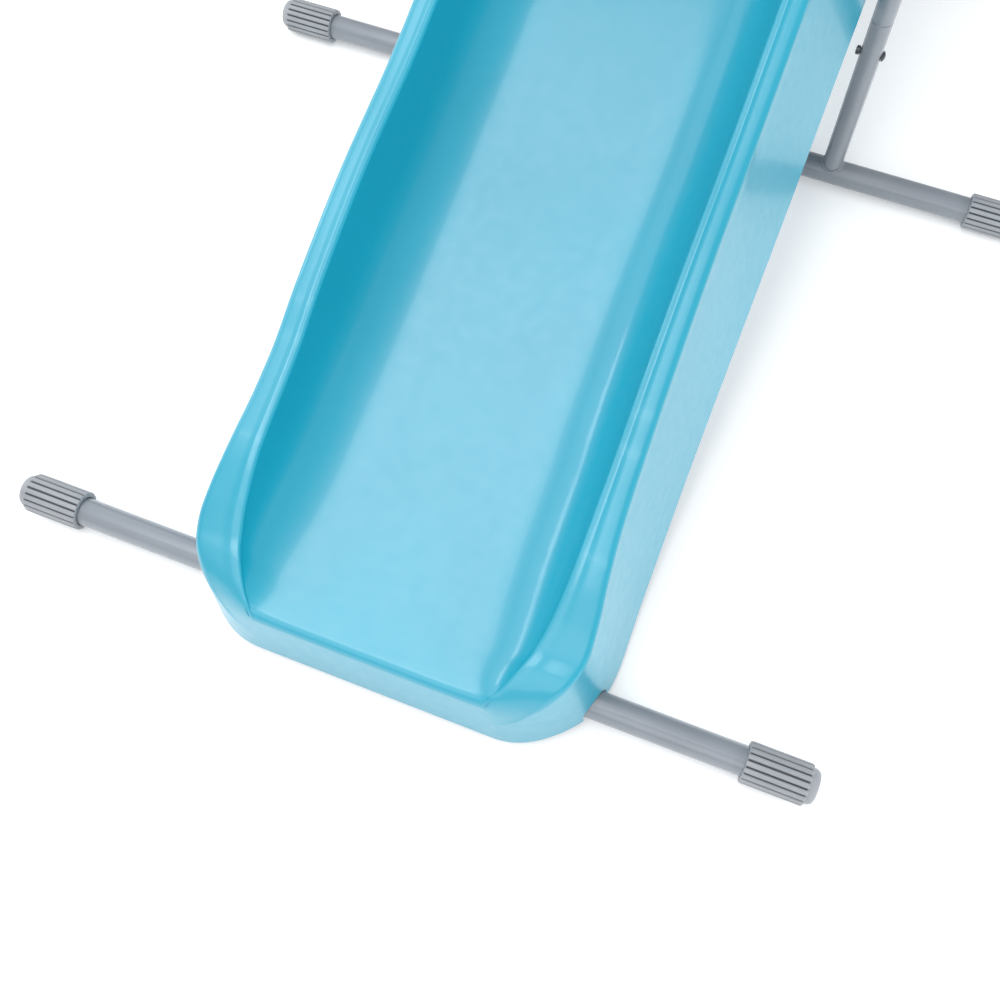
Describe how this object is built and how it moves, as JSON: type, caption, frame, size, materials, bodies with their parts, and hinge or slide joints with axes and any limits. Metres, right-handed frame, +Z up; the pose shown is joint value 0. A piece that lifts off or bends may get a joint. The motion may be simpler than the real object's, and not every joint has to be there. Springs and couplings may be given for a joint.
{
  "type": "toddler slide",
  "caption": "Low toddler slide: moulded chute with rolled rims on a tube frame with ribbed foot caps, steps and handrails; the ladder folds under the chute.",
  "frame": {"origin": "on the floor, at the centre of the slide's bounding box", "axes": "+Z up, the chute runs down towards -Y, the ladder is at +Y, +X is to the right seen from the exit looking along +Y"},
  "size_m": [0.91, 1.2496, 0.5841],
  "materials": {
    "chute": "smooth moulded, soft gloss",
    "frame_paint": "grey powder coat",
    "foot_cap": "matt, ribbed",
    "tread": "matt, ribbed",
    "black_plastic": "matt",
    "fastener": "dark zinc"
  },
  "bodies": {
    "slide": {"chute": "chute", "front_base_bar": "frame_paint", "front_left_foot_cap": "foot_cap", "front_right_foot_cap": "foot_cap", "left_chute_bolt": "fastener", "left_chute_spacer": "black_plastic", "left_front_saddle": "black_plastic", "left_leg_end_plug": "black_plastic", "left_leg_joint_bolt": "fastener", "left_leg_stub": "frame_paint", "left_pivot_bolt": "fastener", "left_pivot_washer": "black_plastic", "left_saddle_screw": "fastener", "left_upper_leg": "frame_paint", "middle_base_bar": "frame_paint", "middle_left_foot_cap": "foot_cap", "middle_right_foot_cap": "foot_cap", "right_chute_bolt": "fastener", "right_chute_spacer": "black_plastic", "right_front_saddle": "black_plastic", "right_leg_end_plug": "black_plastic", "right_leg_joint_bolt": "fastener", "right_leg_stub": "frame_paint", "right_pivot_bolt": "fastener", "right_pivot_washer": "black_plastic", "right_saddle_screw": "fastener", "right_upper_leg": "frame_paint"},
    "ladder": {"deck_hook_tube": "frame_paint", "left_ladder_joint_bolt": "fastener", "left_ladder_rail": "frame_paint", "left_ladder_stub": "frame_paint", "left_lower_tread_bolt": "fastener", "left_rail_end_plug": "black_plastic", "left_upper_tread_bolt": "fastener", "lower_tread": "tread", "rear_base_bar": "frame_paint", "rear_left_foot_cap": "foot_cap", "rear_right_foot_cap": "foot_cap", "right_ladder_joint_bolt": "fastener", "right_ladder_rail": "frame_paint", "right_ladder_stub": "frame_paint", "right_lower_tread_bolt": "fastener", "right_rail_end_plug": "black_plastic", "right_upper_tread_bolt": "fastener", "upper_tread": "tread"}
  },
  "joints": [
    {"name": "ladder_fold", "type": "hinge", "parent": "slide", "child": "ladder", "pos_m": [0, 0.22525, 0.52], "axis": [-1, 0, 0], "range_deg": [0, 40]}
  ]
}
